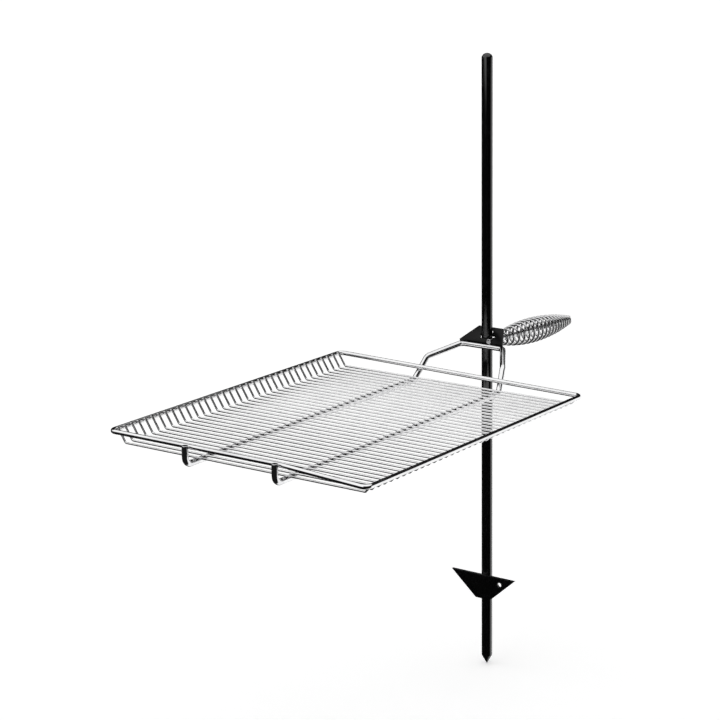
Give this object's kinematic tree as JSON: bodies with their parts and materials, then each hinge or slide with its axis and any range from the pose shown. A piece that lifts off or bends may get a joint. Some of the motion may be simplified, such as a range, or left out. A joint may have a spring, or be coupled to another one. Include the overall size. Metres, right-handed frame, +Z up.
{
  "type": "campfire stake grill",
  "caption": "Wire cooking grid on a sliding bracket with a coil handle, carried by a pointed ground stake with a foot plate.",
  "frame": {"origin": "on the stake's axis at the ground line, which is the foot plate's top edge when the stake is driven home", "axes": "+Z up the stake, +Y from the grid towards the stake and the handle, X along the grid's cross wires"},
  "size_m": [0.3332, 0.6469, 0.731],
  "materials": {
    "black_paint": "gloss",
    "black_plate": "satin",
    "chrome_yoke": "bright plated",
    "chrome_handle": "bright plated",
    "chrome_grid": "bright plated"
  },
  "bodies": {
    "stake": {"stake": "black_paint", "foot_plate": "black_paint"},
    "carrier": {"bracket_plate": "black_plate", "yoke_wire": "chrome_yoke", "handle_core": "chrome_handle", "handle_coil": "chrome_handle"},
    "tray": {"rim_wire": "chrome_grid", "cross_wire_01": "chrome_grid", "cross_wire_02": "chrome_grid", "cross_wire_03": "chrome_grid", "cross_wire_04": "chrome_grid", "cross_wire_05": "chrome_grid", "cross_wire_06": "chrome_grid", "cross_wire_07": "chrome_grid", "cross_wire_08": "chrome_grid", "cross_wire_09": "chrome_grid", "cross_wire_10": "chrome_grid", "cross_wire_11": "chrome_grid", "cross_wire_12": "chrome_grid", "cross_wire_13": "chrome_grid", "cross_wire_14": "chrome_grid", "cross_wire_15": "chrome_grid", "cross_wire_16": "chrome_grid", "cross_wire_17": "chrome_grid", "cross_wire_18": "chrome_grid", "cross_wire_19": "chrome_grid", "cross_wire_20": "chrome_grid", "cross_wire_21": "chrome_grid", "cross_wire_22": "chrome_grid", "cross_wire_23": "chrome_grid", "cross_wire_24": "chrome_grid", "cross_wire_25": "chrome_grid", "cross_wire_26": "chrome_grid", "cross_wire_27": "chrome_grid", "cross_wire_28": "chrome_grid", "cross_wire_29": "chrome_grid", "cross_wire_30": "chrome_grid", "cross_wire_31": "chrome_grid", "cross_wire_32": "chrome_grid", "cross_wire_33": "chrome_grid", "cross_wire_34": "chrome_grid", "cross_wire_35": "chrome_grid", "cross_wire_36": "chrome_grid", "cross_wire_37": "chrome_grid"}
  },
  "joints": [
    {"name": "height_slide", "type": "slide", "parent": "stake", "child": "carrier", "axis": [0, 0, 1], "range_m": [-0.235, 0.3]},
    {"name": "tray_lift", "type": "slide", "parent": "carrier", "child": "tray", "axis": [0, 0, 1], "range_m": [0, 0.12]}
  ]
}
